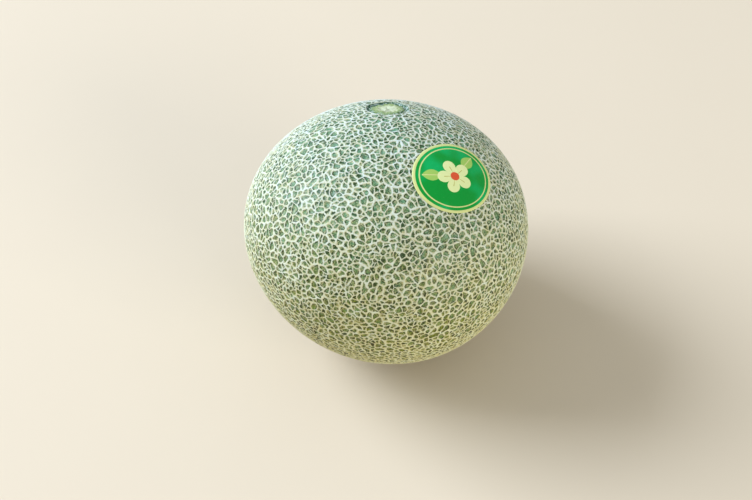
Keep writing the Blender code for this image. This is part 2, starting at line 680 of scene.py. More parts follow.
@dataclass(frozen=True)
class RindFinish:
    """Waxy green rind under a pale corky net, with the two scars."""

    cork: CorkFinish = CorkFinish()
    green: GreenFinish = GreenFinish()
    scars: ScarFinish = ScarFinish()
    # Along the axis the colours run from warm at the low blossom end to cool at the high stem end: partly
    # their own colour, partly painted light.
    warm_to_cool: Span = (-0.042, 0.070)
    hue: Grain = Grain(0.0032, 3.0)
    hue_spread: float = 0.60
    thin_to_thick: Span = (0.00030, 0.00075)
    thick_gain: float = 0.25
    # Painted shade at the foot of the lines: how far into a floor it reaches, and the patches where it lies.
    hollow_reach: Span = (0.35, 0.02)
    hollows: Patches = Patches(0.0018, low=0.47, high=0.58)
    cork_roughness: float = 0.85
    rind_roughness: float = 0.42
    specular: float = 0.05
    wax: float = 0.48
    wax_roughness: float = 0.40
    bump_grain: Grain = Grain(0.00045, 4.0, 0.65)
    bump_gain: float = 1.5
    bump_lost_in_wax: float = 0.8
    bump_strength: float = 0.6
    bump_depth: float = 0.00014

    def material(self, axis: Vector, centre: Vector) -> bpy.types.Material:
        """The rind's material.

        Args:
            axis: The fruit's axis towards the stem end, in the part's frame.
            centre: The fruit's middle, in the part's frame.

        Returns:
            The material.
        """
        graph = ShaderGraph("rind_and_net")
        spot = self.spot(graph, axis, centre)
        crumbs = graph.math("MAXIMUM", self.cork.specks(graph), self.cork.spurs(graph))
        cork = graph.math("MAXIMUM", self.cork.lines(graph, spot), crumbs)
        colour = graph.blend(cork, self.green.colour(graph, spot), self.cork.colour(graph, spot))
        ways = graph.math("MINIMUM", *(graph.named(scar.way_name) for scar in SCARS))
        waxy = graph.times(graph.rest(cork), self.scars.outside(graph, ways))
        fall = self.rind_roughness - self.cork_roughness
        return graph.surface({
            "Base Color": self.scars.colour(graph, colour),
            "Roughness": graph.scaled(waxy, fall, self.cork_roughness),
            "Coat Weight": graph.times(waxy, self.wax),
            "Coat Roughness": self.wax_roughness,
            "Specular IOR Level": self.specular,
            "Normal": self.bump(graph, waxy, crumbs),
        })

    def spot(self, graph: ShaderGraph, axis: Vector, centre: Vector) -> Spot:
        """Read what the finishes need.

        Args:
            graph: The rind's graph.
            axis: The fruit's axis towards the stem end.
            centre: The fruit's middle.

        Returns:
            How near the stem end and a line each spot is, and its painted shade: dark patches here and
            there at the foot of a line, in the corners of a floor, that stand for the shade there.
        """
        along = graph.vector("DOT_PRODUCT", graph.vector("SUBTRACT", graph.place, centre), axis)
        stray = graph.scaled(graph.grain(self.hue), 2.0, -1.0)
        to_stem = graph.between(along, self.warm_to_cool, smooth=False)
        thick = graph.between(graph.named("half"), self.thin_to_thick, smooth=False)
        # Painted shade is strongest in the corners of a floor, at the foot of its lines, and gone before its
        # middle.
        near = graph.between(graph.named("middle"), self.hollow_reach)
        return Spot(
            to_stem=graph.scaled(stray, self.hue_spread, to_stem),
            line=graph.scaled(thick, self.thick_gain, graph.named("cork")),
            hollow=graph.times(near, graph.patches(self.hollows)),
        )

    def bump(self, graph: ShaderGraph, waxy: Socket, crumbs: Socket) -> Socket:
        """Rough cork over a nearly smooth rind, standing up where its crumbs lie.

        Args:
            graph: The rind's graph.
            waxy: Where the rind is smooth.
            crumbs: Where the crumbs lie.

        Returns:
            The bumped direction of the surface.
        """
        rough = graph.scaled(waxy, -self.bump_lost_in_wax, 1.0)
        grain = graph.times(graph.grain(self.bump_grain), rough)
        return graph.bump(graph.scaled(grain, self.bump_gain, crumbs), self.bump_strength, self.bump_depth)


class PrintGraph(ShaderGraph):
    """A print's material under construction, with its coordinates in millimetres from its middle."""

    def __init__(self, name: str, width: float, height: float) -> None:
        """Start the material.

        Args:
            name: The material's name.
            width: The print's width in metres.
            height: The print's height in metres.
        """
        super().__init__(name)
        spot = self.add("ShaderNodeUVMap", uv_map=PRINT_MAP).outputs[0]
        parts = self.add("ShaderNodeSeparateXYZ", {0: spot}).outputs
        self.x, self.y = (
            self.times(self.minus(part, 0.5), MILLIMETRES * size)
            for part, size in zip(parts, (width, height))
        )


@dataclass(frozen=True)
class PaperFinish:
    """Coated paper printed with a plain blossom and two leaves, in cream and green.

    Lengths of the blossom and the leaves are in millimetres. The rim and the line are shares of
    the oval's reach.
    """

    paper: Colour = (0.70, 0.76, 0.36)
    rim: Colour = (0.60, 0.63, 0.25)
    gold: Colour = (0.46, 0.43, 0.12)
    field_dark: Colour = (0.0, 0.275, 0.030)
    field_light: Colour = (0.0, 0.385, 0.095)
    heart: Colour = (0.66, 0.09, 0.03)
    leaf: Colour = (0.33, 0.53, 0.11)
    # Where the painted sheen lies on the green field.
    sheen: Patches = Patches(0.012, 1.0, low=0.40, high=0.66)
    rim_edge: Span = (0.925, 0.935)
    line_at: float = 0.84
    line_edge: Span = (0.012, 0.018)
    ink_edge: Span = (-0.05, 0.05)
    petals: int = 5
    petal_root: float = 4.0
    petal_length: float = 4.4
    petal_roundness: float = 0.6
    stroke_edge: Span = (0.992, 0.997)
    stroke_end: Span = (5.4, 5.2)
    heart_edge: Span = (2.1, 2.2)
    leaf_turn: float = math.radians(24)
    leaf_middle: float = 10.8
    leaf_half_length: float = 4.6
    leaf_half_width: float = 2.9
    midrib_edge: Span = (0.15, 0.3)
    worn: Patches = Patches(0.0007, 4.0, 0.7, 0.66, 0.78)
    wear: float = 0.18
    wave: Grain = Grain(0.0016)
    wave_strength: float = 0.25
    wave_depth: float = 0.0001
    roughness: float = 0.42
    specular: float = 0.22

    def material(self, width: float, height: float) -> bpy.types.Material:
        """The sticker's material.

        Args:
            width: The oval's width in metres.
            height: The oval's height in metres.

        Returns:
            The material.
        """
        graph = PrintGraph("printed_sticker", width, height)
        colour = self.oval(graph, MILLIMETRES * width / 2, MILLIMETRES * height / 2)
        for side in (-1.0, 1.0):
            colour = self.leaf_shape(graph, colour, side)
        colour = self.blossom(graph, colour)
        worn = graph.times(graph.patches(self.worn), self.wear)
        return graph.surface({
            "Base Color": graph.blend(worn, colour, self.paper),
            "Roughness": self.roughness,
            "Specular IOR Level": self.specular,
            "Normal": graph.bump(graph.grain(self.wave), self.wave_strength, self.wave_depth),
        })

    def oval(self, graph: PrintGraph, reach_x: float, reach_y: float) -> Socket:
        """The green field inside its cream rim, with one fine cream line near its edge.

        Args:
            graph: The print's graph.
            reach_x: Half the oval's width in millimetres.
            reach_y: Half the oval's height in millimetres.

        Returns:
            The colour.
        """
        out = graph.length(graph.math("DIVIDE", graph.x, reach_x), graph.math("DIVIDE", graph.y, reach_y))
        # Painted sheen: soft lighter patches of green stand for the gloss of the coated paper.
        colour = graph.blend(graph.patches(self.sheen), self.field_dark, self.field_light)
        colour = graph.blend(graph.between(out, self.rim_edge), colour, self.rim)
        off_line = graph.math("ABSOLUTE", graph.minus(out, self.line_at))
        return graph.blend(graph.between(off_line, self.line_edge), self.rim, colour)

    def leaf_shape(self, graph: PrintGraph, colour: Socket, side: float) -> Socket:
        """Lay one leaf with its midrib beside the blossom.

        Args:
            graph: The print's graph.
            colour: The colour under it.
            side: One for the right leaf and minus one for the left.

        Returns:
            The colour with the leaf.
        """
        across = graph.times(graph.x, side)
        along = graph.minus(self.turned(graph, across, graph.y), self.leaf_middle)
        aside = graph.math("ABSOLUTE", self.turned(graph, graph.y, graph.times(across, -1.0)))
        share = graph.square(graph.math("DIVIDE", along, self.leaf_half_length))
        half = graph.scaled(share, -self.leaf_half_width, self.leaf_half_width)
        inside = graph.between(graph.minus(half, aside), self.ink_edge)
        leaf = graph.blend(graph.between(aside, self.midrib_edge), self.rim, self.leaf)
        return graph.blend(inside, colour, leaf)

    def turned(self, graph: PrintGraph, first: Socket, second: Socket) -> Socket:
        """One coordinate of a point after the leaf's turn."""
        part = graph.times(second, math.sin(self.leaf_turn))
        return graph.scaled(first, math.cos(self.leaf_turn), part)

    def blossom(self, graph: PrintGraph, colour: Socket) -> Socket:
        """Lay a cream blossom with a gold line down each petal and a red heart.

        Args:
            graph: The print's graph.
            colour: The colour under it.

        Returns:
            The colour with the blossom.
        """
        away = graph.length(graph.x, graph.y)
        turn = graph.times(graph.math("ARCTAN2", graph.x, graph.y), self.petals / 2)
        lobes = graph.math("ABSOLUTE", graph.math("COSINE", turn))
        reach = graph.math("POWER", lobes, self.petal_roundness)
        reach = graph.scaled(reach, self.petal_length, self.petal_root)
        petals = graph.between(graph.minus(reach, away), self.ink_edge)
        colour = graph.blend(petals, colour, self.paper)
        stroke = graph.times(graph.between(lobes, self.stroke_edge), graph.between(away, self.stroke_end))
        colour = graph.blend(stroke, colour, self.gold)
        return graph.blend(graph.between(away, self.heart_edge), self.heart, colour)


@dataclass(frozen=True)
class FloorFinish:
    """A plain pale floor with faint darker areas."""

    colour: Colour = (0.66, 0.56, 0.43)
    dark: Colour = (0.56, 0.46, 0.34)
    dark_share: float = 0.10
    areas: Grain = Grain(0.05, 3.0)
    roughness: float = 0.8

    def material(self) -> bpy.types.Material:
        """The floor's material.

        Returns:
            The material.
        """
        graph = ShaderGraph("pale_floor")
        share = graph.times(graph.grain(self.areas), self.dark_share)
        colour = graph.blend(share, self.colour, self.dark)
        return graph.surface({"Base Color": colour, "Roughness": self.roughness})


@dataclass
class NetGrowth:
    """Grows the net's cells: a closed skin of polygons whose edges are the lines of cork."""

    form: MelonForm
    first_pitch: float = 0.0064
    jitter: float = 0.60
    seed: int = 21
    area_range: Span = (7.0e-6, 16.5e-6)
    patch_pitch: float = 0.011
    patch_spread: float = 0.45
    shortest_edge: float = 0.00048
    least_split: float = 0.00100
    least_bent: float = 0.00235
    longest_rim_edge: float = 0.0016
    bending: float = 0.13
    bend_place: Span = (0.35, 0.65)
    off_middle: float = 0.12
    straying: float = math.radians(18)
    straying_growth: float = 1.15
    most_straying: float = math.radians(90)
    softening: float = 0.22
    soft_rounds: int = 2
    width_spread: float = 0.25
    most_filled: float = 0.54
    least_large: float = 8.0e-6
    cut_tolerance: float = 1e-7
    level_tolerance: float = 1e-6
    draw: random.Random = field(init=False)

    def __post_init__(self) -> None:
        """Seed the draws."""
        self.draw = random.Random(self.seed)

    def grow(self) -> bmesh.types.BMesh:
        """Grow the whole net.

        Returns:
            The cells in the fruit's own frame, open at both ends.
        """
        cells = self.first_cells()
        self.split(cells)
        self.soften(cells)
        for scar in SCARS:
            self.open_end(cells, scar)
        self.drop_short(cells)
        self.bend(cells)
        cells.normal_update()
        self.note_cells(cells)
        return cells

    def directions(self) -> list[Vector]:
        """The middles of the first cells, spread unevenly over the fruit.

        Returns:
            Unit vectors.
        """
        pitch = self.first_pitch / self.form.equator_radius
        count = round(4 * math.pi / (pitch * pitch * math.sqrt(3) / 2))
        places = []
        for direction in golden_spiral(count):
            shift = Vector([self.draw.uniform(-1, 1) for _ in range(3)])
            places.append((direction + self.jitter * pitch * shift).normalized())
        return places

    def first_cells(self) -> bmesh.types.BMesh:
        """One polygon round each direction, in the fruit's own frame.

        Returns:
            A closed mesh with a "line" width on its edges.
        """
        hull = bmesh.new()
        corners = [hull.verts.new(direction) for direction in self.directions()]
        bmesh.ops.convex_hull(hull, input=corners)
        hull.faces.index_update()
        middles = {face.index: face.calc_center_median() for face in hull.faces}
        cells = bmesh.new()
        line = cells.edges.layers.float.new("line")
        junctions = {
            index: cells.verts.new(self.form.point(middle.normalized()))
            for index, middle in middles.items()
        }
        for corner in corners:
            around = {face.index: middles[face.index] for face in corner.link_faces}
            if len(around) > 2:
                turned = in_turn(around, corner.co, corner.co.normalized())
                cells.faces.new([junctions[index] for index in turned])
        hull.free()
        loose = [vertex for vertex in cells.verts if not vertex.link_faces]
        bmesh.ops.delete(cells, geom=loose, context="VERTS")
        for edge in cells.edges:
            edge[line] = self.width(Line.FIRST)
        cells.normal_update()
        return cells

    def width(self, kind: Line) -> float:
        """Half the width of one line at its foot."""
        return kind.value * (1 + self.draw.uniform(-self.width_spread, self.width_spread))

    def split(self, cells: bmesh.types.BMesh) -> None:
        """Part the large cells, and their parts again, by thinner lines.

        Args:
            cells: The mesh.
        """
        waiting = [(face, Line.LATER) for face in cells.faces]
        while waiting:
            face, kind = waiting.pop()
            patch = noise.noise(face.calc_center_median() / self.patch_pitch)
            limit = self.draw.uniform(*self.area_range) * (1 + self.patch_spread * patch)
            parts = []
            straying = self.straying
            while face.calc_area() > limit and not parts and straying < self.most_straying:
                parts = self.cut(cells, face, kind, straying)
                straying *= self.straying_growth
            waiting.extend((part, Line.LAST) for part in parts)

    def cut(self, cells: bmesh.types.BMesh, face: bmesh.types.BMFace, kind: Line,
            straying: float) -> list[bmesh.types.BMFace]:
        """Part one cell by a line across its long way.

        Args:
            cells: The mesh.
            face: The cell.
            kind: What line parts it.
            straying: How far the line may turn from straight across.

        Returns:
            The two cells, or none where it can't be parted.
        """
        line = cells.edges.layers.float["line"]
        places = [vertex.co for vertex in face.verts]
        length, long_way = max(
            (((a - b).length, a - b) for i, a in enumerate(places) for b in places[:i]),
            key=lambda pair: pair[0],
        )
        turn = Matrix.Rotation(self.draw.uniform(-straying, straying), 3, face.normal)
        along = turn @ long_way.normalized()
        shift = along * length * self.draw.uniform(-self.off_middle, self.off_middle)
        middle = face.calc_center_median() + shift
        crossings = []
        for edge in face.edges:
            near, far = ((vertex.co - middle).dot(along) for vertex in edge.verts)
            if near * far < 0:
                crossings.append((edge, near / (near - far)))
        if len(crossings) != 2 or any(edge.calc_length() < self.least_split for edge, _ in crossings):
            return []
        ends = []
        for edge, share in crossings:
            least = self.shortest_edge / edge.calc_length()
            share = min(max(share, least), 1 - least)
            ends.append(bmesh.utils.edge_split(edge, edge.verts[0], share)[1])
        made, loop = bmesh.utils.face_split(face, *ends)
        loop.edge[line] = self.width(kind)
        for part in (face, made):
            part.normal_update()
        return [face, made]

    def soften(self, cells: bmesh.types.BMesh) -> None:
        """Let the junctions give a little, so that the lines bend where others meet them.

        Args:
            cells: The mesh.
        """
        for _ in range(self.soft_rounds):
            moved = {}
            for vertex in cells.verts:
                if not vertex.is_boundary:
                    around = [edge.other_vert(vertex).co for edge in vertex.link_edges]
                    middle = sum(around, Vector()) / len(around)
                    moved[vertex] = vertex.co.lerp(middle, self.softening)
            for vertex, place in moved.items():
                vertex.co = self.form.point(self.form.direction(place))

    def open_end(self, cells: bmesh.types.BMesh, scar: Scar) -> None:
        """Cut a round opening for a scar, with a line of cork round it.

        Args:
            cells: The mesh.
            scar: The scar.
        """
        line = cells.edges.layers.float["line"]
        height = self.form.end_height(scar.end, scar.radius)
        level = self.form.half_height * height
        bmesh.ops.bisect_plane(
            cells, geom=cells.verts[:] + cells.edges[:] + cells.faces[:], dist=self.cut_tolerance,
            plane_co=(0, 0, level), plane_no=(0, 0, scar.end.value), clear_outer=True,
        )
        long = [edge for edge in self.rim(cells, level) if edge.calc_length() > self.longest_rim_edge]
        bmesh.ops.subdivide_edges(cells, edges=long, cuts=1)
        middle = self.form.point(Vector((0, 0, height)))
        for edge in self.rim(cells, level):
            edge[line] = Line.RING.value
            for vertex in edge.verts:
                out = (vertex.co - middle).xy.to_3d().normalized()
                out *= scar.radius * (1 + scar.raggedness * noise.noise(out * scar.rag_count))
                vertex.co = Vector((middle.x + out.x, middle.y + out.y, level))

    def rim(self, cells: bmesh.types.BMesh, level: float) -> list[bmesh.types.BMEdge]:
        """The edges round the opening at a level."""
        border = [edge for edge in cells.edges if edge.is_boundary]
        return [edge for edge in border if abs(edge.verts[0].co.z - level) < self.level_tolerance]

    def drop_short(self, cells: bmesh.types.BMesh) -> None:
        """Draw the shortest edges together.

        Args:
            cells: The mesh.
        """
        short = [
            edge for edge in cells.edges
            if edge.calc_length() < self.shortest_edge
            and not any(vertex.is_boundary for vertex in edge.verts)
        ]
        bmesh.ops.collapse(cells, edges=short)

    def bend(self, cells: bmesh.types.BMesh) -> None:
        """Put a slight bend into each long edge.

        Args:
            cells: The mesh.
        """
        for edge in [edge for edge in cells.edges if edge.calc_length() > self.least_bent]:
            start, end = edge.verts
            aside = edge.link_faces[0].normal.cross(end.co - start.co)
            made = bmesh.utils.edge_split(edge, start, self.draw.uniform(*self.bend_place))[1]
            place = made.co + aside * self.draw.uniform(-self.bending, self.bending)
            made.co = self.form.point(self.form.direction(place))

    def note_cells(self, cells: bmesh.types.BMesh) -> None:
        """Note on each cell how wide a line's half may be inside it, its own tone and its size.

        Args:
            cells: The mesh.
        """
        room = cells.faces.layers.float.new("room")
        tone = cells.faces.layers.float.new("tone")
        large = cells.faces.layers.float.new("large")
        for face in cells.faces:
            area = face.calc_area()
            face[room] = self.most_filled * 2 * area / face.calc_perimeter()
            face[tone] = self.draw.random()
            face[large] = float(area > self.least_large)


@dataclass
class Relief:
    """Raises each edge of a polygon skin as a rounded line, by a geometry tree with these inputs."""

    line_height: float = 0.00033
    shoulder_share: float = 0.45
    shoulder_drop: float = 0.20
    unevenness: float = 0.00012
    unevenness_pitch: float = 0.0030
    narrowest: float = 0.60
    widest: float = 1.40
    rounding: float = 0.07

    def tree(self, material: bpy.types.Material) -> tuple[bpy.types.NodeTree, dict[str, float]]:
        """Build the tree.

        Args:
            material: What the skin is made of.

        Returns:
            The tree, and the size for the identifier of each named input.
        """
        tree = bpy.data.node_groups.new("raise_net", "GeometryNodeTree")
        tree.interface.new_socket("Geometry", in_out="INPUT", socket_type="NodeSocketGeometry")
        sizes = {}
        for name, size in asdict(self).items():
            label = name.replace("_", " ").title()
            socket = tree.interface.new_socket(label, in_out="INPUT", socket_type="NodeSocketFloat")
            sizes[socket.identifier] = size
        tree.interface.new_socket("Geometry", in_out="OUTPUT", socket_type="NodeSocketGeometry")
        ReliefGraph(tree).build(material)
        return tree, sizes

    def apply(self, thing: bpy.types.Object, material: bpy.types.Material) -> bpy.types.Mesh:
        """Raise the lines on an object's skin.

        Args:
            thing: The object with the polygon skin.
            material: What the result is made of.

        Returns:
            The raised mesh, with the modifier gone from the object.
        """
        tree, sizes = self.tree(material)
        modifier = thing.modifiers.new("raise_net", "NODES")
        modifier.node_group = tree
        for identifier, size in sizes.items():
            modifier[identifier] = size
        graph = bpy.context.evaluated_depsgraph_get()
        raised = bpy.data.meshes.new_from_object(
            thing.evaluated_get(graph), preserve_all_data_layers=True, depsgraph=graph)
        thing.modifiers.remove(modifier)
        return raised


@dataclass
class ReliefGraph(Graph):
    """The nodes of the relief tree.

    Each point is noted with its "cork": one on a line's top, less on its shoulder, none on a floor.
    """

    shoulder_cork: float = 0.75
    top_level: float = 0.75
    width_scale: float = 550.0
    width_levels: Span = (0.3, 0.7)
    sharpest_corner: float = 0.45
    merge_distance: float = 1e-6
    given: Any = field(init=False)
    place: Socket = field(init=False)

    def __post_init__(self) -> None:
        """Lay out what the tree is given."""
        self.given = self.add("NodeGroupInput").outputs
        self.place = self.add("GeometryNodeInputPosition").outputs[0]

    def build(self, material: bpy.types.Material) -> None:
        """Lay out the rest of the tree.

        Args:
            material: What the skin is made of.
        """
        skin = self.add("GeometryNodeSplitEdges", {0: self.uneven()}).outputs[0]
        skin, *slope = self.measure(skin)
        skin = self.keep(skin, "cork", 1.0, "FLOAT")
        large = self.kept("large", "FLOAT")
        height = self.given["Line Height"]
        share = self.times(large, self.given["Shoulder Share"])
        fall = self.times(large, self.times(height, self.given["Shoulder Drop"]))
        skin, top = self.step(skin, large, slope, share, fall)
        skin = self.keep(skin, "cork", self.shoulder_cork, "FLOAT", top)
        floors = self.math("MAXIMUM", top, self.rest(large))
        skin, top = self.step(skin, floors, slope, self.rest(share), self.minus(height, fall))
        skin = self.keep(self.rounded(skin, top), "cork", 0.0, "FLOAT", top)
        merge = {"Geometry": skin, "Distance": self.merge_distance}
        skin = self.add("GeometryNodeMergeByDistance", merge).outputs[0]
        skin = self.add("GeometryNodeRealizeInstances", {0: skin}).outputs[0]
        skin = self.add("GeometryNodeSetMaterial", {"Geometry": skin, "Material": material}).outputs[0]
        self.add("NodeGroupOutput", {0: skin})

    def wave(self, scale: Any) -> Socket:
        """Plain noise of a given scale."""
        inputs = {"Vector": self.place, "Scale": scale, "Detail": 1.0}
        return self.add("ShaderNodeTexNoise", inputs).outputs[0]

    def uneven(self) -> Socket:
        """Let the tops of the lines rise and fall a little.

        Returns:
            The skin.
        """
        outward = self.add("GeometryNodeInputNormal").outputs[0]
        wave = self.wave(self.math("DIVIDE", 1.0, self.given["Unevenness Pitch"]))
        height = self.times(self.minus(wave, self.top_level), self.given["Unevenness"])
        return self.move(self.given["Geometry"], self.vector("SCALE", outward, scale=height))

    def measure(self, skin: Socket) -> tuple[Socket, Socket, Socket, Socket]:
        """Find the slope at each corner of each loose cell.

        Args:
            skin: The loose cells.

        Returns:
            The cells, and each corner's way in, its way up and its line's half width.
        """
        corner = self.add("GeometryNodeCornersOfVertex").outputs["Corner Index"]
        face = self.add("GeometryNodeFaceOfCorner", {0: corner}).outputs[0]
        normal = self.add("GeometryNodeInputNormal").outputs[0]
        upward = self.at(normal, face, "FACE", "FLOAT_VECTOR")
        fields = {
            "way_in": (self.inward(corner, upward), "FLOAT_VECTOR"),
            "way_up": (upward, "FLOAT_VECTOR"),
            "half": (self.half_width(corner), "FLOAT"),
        }
        for name, (value, kind) in fields.items():
            skin = self.keep(skin, name, value, kind)
        return skin, *(self.kept(name, kind) for name, (_, kind) in fields.items())

    def inward(self, corner: Socket, upward: Socket) -> Socket:
        """The way from a corner into its cell that stays one unit clear of both its edges.

        Args:
            corner: The corner's number.
            upward: The way up from its cell.

        Returns:
            The way, held short where the corner is sharp.
        """
        sides = []
        for step in (1, -1):
            inputs = {"Corner Index": corner, "Offset": step}
            beside = self.add("GeometryNodeOffsetCornerInFace", inputs).outputs[0]
            vertex = self.add("GeometryNodeVertexOfCorner", {0: beside}).outputs[0]
            way = self.vector("SUBTRACT", self.at(self.place, vertex, "POINT", "FLOAT_VECTOR"), self.place)
            way = self.vector("NORMALIZE", self.vector("SCALE", way, scale=float(step)))
            sides.append(self.vector("CROSS_PRODUCT", upward, way))
        facing = self.plus(1.0, self.vector("DOT_PRODUCT", *sides))
        reach = self.math("DIVIDE", 1.0, self.math("MAXIMUM", facing, self.sharpest_corner))
        return self.vector("SCALE", self.vector("ADD", *sides), scale=reach)

    def half_width(self, corner: Socket) -> Socket:
        """Half the width of the lines that meet at a corner.

        Args:
            corner: The corner's number.

        Returns:
            The half width, uneven along the lines and within the cell's room.
        """
        edges = self.add("GeometryNodeEdgesOfCorner", {0: corner}).outputs
        width = self.kept("line", "FLOAT")
        half = self.times(self.plus(*(self.at(width, edge, "EDGE", "FLOAT") for edge in edges)), 0.5)
        ends = (self.given["Narrowest"], self.given["Widest"])
        uneven = self.between(self.wave(self.width_scale), self.width_levels, ends, smooth=False)
        return self.math("MINIMUM", self.times(half, uneven), self.kept("room", "FLOAT"))

    def step(self, skin: Socket, cells: Any, slope: list[Socket], share: Any,
             fall: Any) -> tuple[Socket, Socket]:
        """Draw the chosen cells in and down.

        Args:
            skin: The skin.
            cells: Which cells.
            slope: Each corner's way in, way up and half width.
            share: How far in, as a share of the half width.
            fall: How far down.

        Returns:
            The skin, and which of it was drawn in.
        """
        inward, upward, half = slope
        inputs = {"Mesh": skin, "Selection": cells, "Offset Scale": 0.0}
        extruded = self.add("GeometryNodeExtrudeMesh", inputs, mode="FACES").outputs
        offset = self.vector("SCALE", inward, scale=self.times(half, share))
        down = self.vector("SCALE", upward, scale=self.times(fall, -1.0))
        return self.move(extruded["Mesh"], self.vector("ADD", offset, down), extruded["Top"]), extruded["Top"]

    def rounded(self, skin: Socket, top: Socket) -> Socket:
        """Ease the corners of each cell's floor towards a round form.

        Args:
            skin: The skin.
            top: Which of it are floors.

        Returns:
            The skin.
        """
        inputs = {"Value": self.place, "Iterations": 1, "Weight": self.given["Rounding"]}
        eased = self.add("GeometryNodeBlurAttribute", inputs, data_type="FLOAT_VECTOR").outputs[0]
        inputs = {"Geometry": skin, "Selection": top, "Position": eased}
        return self.add("GeometryNodeSetPosition", inputs).outputs[0]

    def move(self, geometry: Socket, offset: Socket, only: Any = True) -> Socket:
        """Shift the chosen points by a field."""
        inputs = {"Geometry": geometry, "Offset": offset, "Selection": only}
        return self.add("GeometryNodeSetPosition", inputs).outputs[0]

    def keep(self, geometry: Socket, name: str, value: Any, kind: str, only: Any = True) -> Socket:
        """Store a field on the chosen points under a name."""
        inputs = {"Geometry": geometry, "Name": name, "Value": value, "Selection": only}
        return self.add("GeometryNodeStoreNamedAttribute", inputs, data_type=kind, domain="POINT").outputs[0]

    def kept(self, name: str, kind: str) -> Socket:
        """A stored field."""
        node = self.add("GeometryNodeInputNamedAttribute", {"Name": name}, data_type=kind)
        return node.outputs["Attribute"]

    def at(self, value: Socket, index: Socket, domain: str, kind: str) -> Socket:
        """A field's value at another element."""
        inputs = {"Index": index, "Value": value}
        return self.add("GeometryNodeFieldAtIndex", inputs, domain=domain, data_type=kind).outputs["Value"]


@dataclass
class Melon:
    """The fruit as one closed mesh."""

    form: MelonForm = field(default_factory=MelonForm)
    finish: RindFinish = field(default_factory=RindFinish)
    relief: Relief = field(default_factory=Relief)
    swelling: float = 0.07
    placed: Matrix = field(init=False)

    def __post_init__(self) -> None:
        """Work out where the fruit stands."""
        self.placed = self.form.placement()

    def at(self, place: Vector) -> Vector:
        """A place of the fruit's own frame in the part's frame, at rest."""
        return self.form.rested(self.placed @ place)

    def build(self) -> bpy.types.Object:
        """Grow the net, raise it and close both ends.

        Returns:
            The finished fruit.
        """
        axis = (self.placed.to_3x3() @ Vector((0, 0, 1))).normalized()
        material = self.finish.material(axis, self.placed.translation)
        cells = NetGrowth(self.form).grow()
        for vertex in cells.verts:
            vertex.co = self.at(vertex.co)
        cells.normal_update()
        data = bpy.data.meshes.new("melon_cells")
        cells.to_mesh(data)
        cells.free()
        fruit = bpy.data.objects.new("melon_body", data)
        bpy.context.scene.collection.objects.link(fruit)
        LOG.info("net: %d cells", len(data.polygons))
        raised = self.relief.apply(fruit, material)
        self.close(raised)
        fruit.data = raised
        bpy.data.meshes.remove(data)
        return fruit

    def close(self, raised: bpy.types.Mesh) -> None:
        """Swell the floors, fill both openings with their scars and tidy the mesh.

        Args:
            raised: The raised net.
        """
        mesh = bmesh.new()
        mesh.from_mesh(raised)
        for name in ("way_in", "way_up"):
            mesh.verts.layers.float_vector.remove(mesh.verts.layers.float_vector[name])
        for scar in SCARS:
            way = mesh.verts.layers.float.new(scar.way_name)
            for vertex in mesh.verts:
                vertex[way] = 1.0
        self.swell_floors(mesh)
        for scar in SCARS:
            self.fill(mesh, scar)
        for face in mesh.faces:
            face.smooth = True
        mesh.to_mesh(raised)
        mesh.free()

    def swell_floors(self, mesh: bmesh.types.BMesh) -> None:
        """Give each large cell's floor a middle point and let it swell a little.

        Args:
            mesh: The raised net.
        """
        middle = mesh.verts.layers.float.new("middle")
        cork = mesh.verts.layers.float["cork"]
        large = mesh.faces.layers.float["large"]
        floors = [
            face for face in mesh.faces
            if face[large] > 0.5 and all(vertex[cork] < 0.5 for vertex in face.verts)
        ]
        lifts = [self.swelling * math.sqrt(face.calc_area()) for face in floors]
        made = bmesh.ops.poke(mesh, faces=floors)["verts"]
        for vertex, lift in zip(made, lifts):
            vertex[middle] = 1.0
            vertex.co += vertex.normal * lift

    def fill(self, mesh: bmesh.types.BMesh, scar: Scar) -> None:
        """Close one end with rings that step down to the scar's middle.

        Args:
            mesh: The raised net.
            scar: The scar.
        """
        height = self.form.end_height(scar.end, scar.radius)
        middle = self.placed @ self.form.point(Vector((0, 0, height)))
        axis = self.placed.to_3x3() @ Vector((0, 0, scar.end.value))
        near = [v for v in mesh.verts if v.is_boundary and (v.co - middle).length < 2 * scar.radius]
        rim = in_turn({vertex: vertex.co for vertex in near}, middle, axis)
        outer = rim
        for share, depth in scar.steps:
            inner = []
            for vertex in rim:
                flat = middle + (vertex.co - middle) * share
                lump = noise.noise(flat / scar.lump) * scar.roughness
                lump *= min(1.0, scar.lump_growth * (1 - share))
                inner.append(self.scar_vertex(mesh, flat - axis * (depth - lump), scar, share))
            for index, vertex in enumerate(outer):
                after = (index + 1) % len(outer)
                mesh.faces.new((vertex, outer[after], inner[after], inner[index]))
            outer = inner
        hub_place = sum((vertex.co for vertex in outer), Vector()) / len(outer)
        hub = self.scar_vertex(mesh, hub_place, scar, 0.0)
        for index, vertex in enumerate(outer):
            mesh.faces.new((vertex, outer[(index + 1) % len(outer)], hub))

    def scar_vertex(self, mesh: bmesh.types.BMesh, place: Vector, scar: Scar,
                    share: float) -> bmesh.types.BMVert:
        """Add a vertex of a scar.

        Args:
            mesh: The raised net.
            place: Where.
            scar: The scar.
            share: How far out from its middle, as a share of its radius.

        Returns:
            The vertex.
        """
        made = mesh.verts.new(place)
        for each in SCARS:
            made[mesh.verts.layers.float[each.way_name]] = share if each is scar else 1.0
        return made


